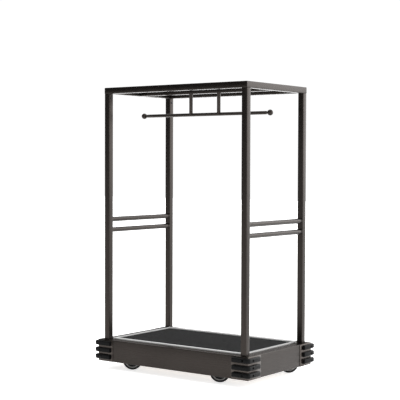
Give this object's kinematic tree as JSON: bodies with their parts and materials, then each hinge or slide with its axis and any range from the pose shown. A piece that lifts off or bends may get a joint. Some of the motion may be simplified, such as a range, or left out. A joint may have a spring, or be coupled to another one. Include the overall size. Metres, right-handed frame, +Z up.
{
  "type": "hotel luggage cart",
  "caption": "Hotel luggage cart: square-tube upper frame with garment rail and end tubes on a skirted carpeted deck with corner bumpers and swivel casters.",
  "frame": {"origin": "on the floor, in the middle of the cart's length and width", "axes": "+X along the cart to its right end, +Y to the rear long side, +Z up"},
  "size_m": [1.22, 0.766, 1.8384],
  "materials": {
    "bronze_metal": "satin dark bronze powder coat over steel tube and sheet",
    "trim_steel": "bright brushed stainless edge trim",
    "plywood": "raw plywood, seen only from below",
    "carpet": "dense charcoal needle felt",
    "bumper_rubber": "matt black moulded rubber",
    "base_black": "black primer on welded steel tube",
    "black_screw": "blackened socket screws",
    "tyre_rubber": "black rubber tread",
    "wheel_nylon": "grey moulded nylon",
    "zinc_steel": "zinc plated pressed steel"
  },
  "bodies": {
    "cart": {"post_front_left": "bronze_metal", "post_front_right": "bronze_metal", "post_rear_left": "bronze_metal", "post_rear_right": "bronze_metal", "top_rail_front": "bronze_metal", "top_rail_rear": "bronze_metal", "top_rail_left": "bronze_metal", "top_rail_right": "bronze_metal", "top_rail_centre": "bronze_metal", "hanging_rail": "bronze_metal", "rail_end_balls": "bronze_metal", "hanger_drops": "bronze_metal", "drop_screws": "black_screw", "side_tubes": "bronze_metal", "side_tube_collars": "bronze_metal", "post_spigots": "zinc_steel", "spigot_screws": "black_screw", "deck_board": "plywood", "deck_carpet": "carpet", "trim_front": "trim_steel", "trim_rear": "trim_steel", "trim_left": "trim_steel", "trim_right": "trim_steel", "skirt_front": "bronze_metal", "skirt_rear": "bronze_metal", "skirt_left": "bronze_metal", "skirt_right": "bronze_metal", "base_long_rails": "base_black", "base_end_rails": "base_black", "base_stringers": "base_black", "base_cross_ties": "base_black", "post_foot_plugs": "zinc_steel", "post_bolts": "zinc_steel", "corner_bracket_front_left": "bronze_metal", "corner_bracket_front_right": "bronze_metal", "corner_bracket_rear_left": "bronze_metal", "corner_bracket_rear_right": "bronze_metal", "bumpers_front_left": "bumper_rubber", "bumpers_front_right": "bumper_rubber", "bumpers_rear_left": "bumper_rubber", "bumpers_rear_right": "bumper_rubber", "bumper_screws": "zinc_steel", "caster_plates": "zinc_steel", "caster_bolts": "zinc_steel"},
    "swivel_front_left": {"fork_front_left": "zinc_steel", "axle_front_left": "zinc_steel"},
    "roller_front_left": {"wheel_front_left": "wheel_nylon", "tyre_front_left": "tyre_rubber"},
    "swivel_front_right": {"fork_front_right": "zinc_steel", "axle_front_right": "zinc_steel"},
    "roller_front_right": {"wheel_front_right": "wheel_nylon", "tyre_front_right": "tyre_rubber"},
    "swivel_rear_left": {"fork_rear_left": "zinc_steel", "axle_rear_left": "zinc_steel"},
    "roller_rear_left": {"wheel_rear_left": "wheel_nylon", "tyre_rear_left": "tyre_rubber"},
    "swivel_rear_right": {"fork_rear_right": "zinc_steel", "axle_rear_right": "zinc_steel"},
    "roller_rear_right": {"wheel_rear_right": "wheel_nylon", "tyre_rear_right": "tyre_rubber"}
  },
  "joints": [
    {"name": "swivel_front_left", "type": "hinge", "parent": "cart", "child": "swivel_front_left", "pos_m": [-0.35, -0.238, 0.145], "axis": [0, 0, 1], "continuous": true},
    {"name": "roll_front_left", "type": "hinge", "parent": "swivel_front_left", "child": "roller_front_left", "pos_m": [-0.38637, -0.259, 0.0635], "axis": [0.5, -0.866, 0], "continuous": true},
    {"name": "swivel_front_right", "type": "hinge", "parent": "cart", "child": "swivel_front_right", "pos_m": [0.35, -0.238, 0.145], "axis": [0, 0, 1], "continuous": true},
    {"name": "roll_front_right", "type": "hinge", "parent": "swivel_front_right", "child": "roller_front_right", "pos_m": [0.31363, -0.259, 0.0635], "axis": [0.5, -0.866, 0], "continuous": true},
    {"name": "swivel_rear_left", "type": "hinge", "parent": "cart", "child": "swivel_rear_left", "pos_m": [-0.452, 0.238, 0.145], "axis": [0, 0, 1], "continuous": true},
    {"name": "roll_rear_left", "type": "hinge", "parent": "swivel_rear_left", "child": "roller_rear_left", "pos_m": [-0.4817, 0.2677, 0.0635], "axis": [-0.7071, -0.7071, 0], "continuous": true},
    {"name": "swivel_rear_right", "type": "hinge", "parent": "cart", "child": "swivel_rear_right", "pos_m": [0.452, 0.238, 0.145], "axis": [0, 0, 1], "continuous": true},
    {"name": "roll_rear_right", "type": "hinge", "parent": "swivel_rear_right", "child": "roller_rear_right", "pos_m": [0.4817, 0.2677, 0.0635], "axis": [-0.7071, 0.7071, 0], "continuous": true}
  ]
}
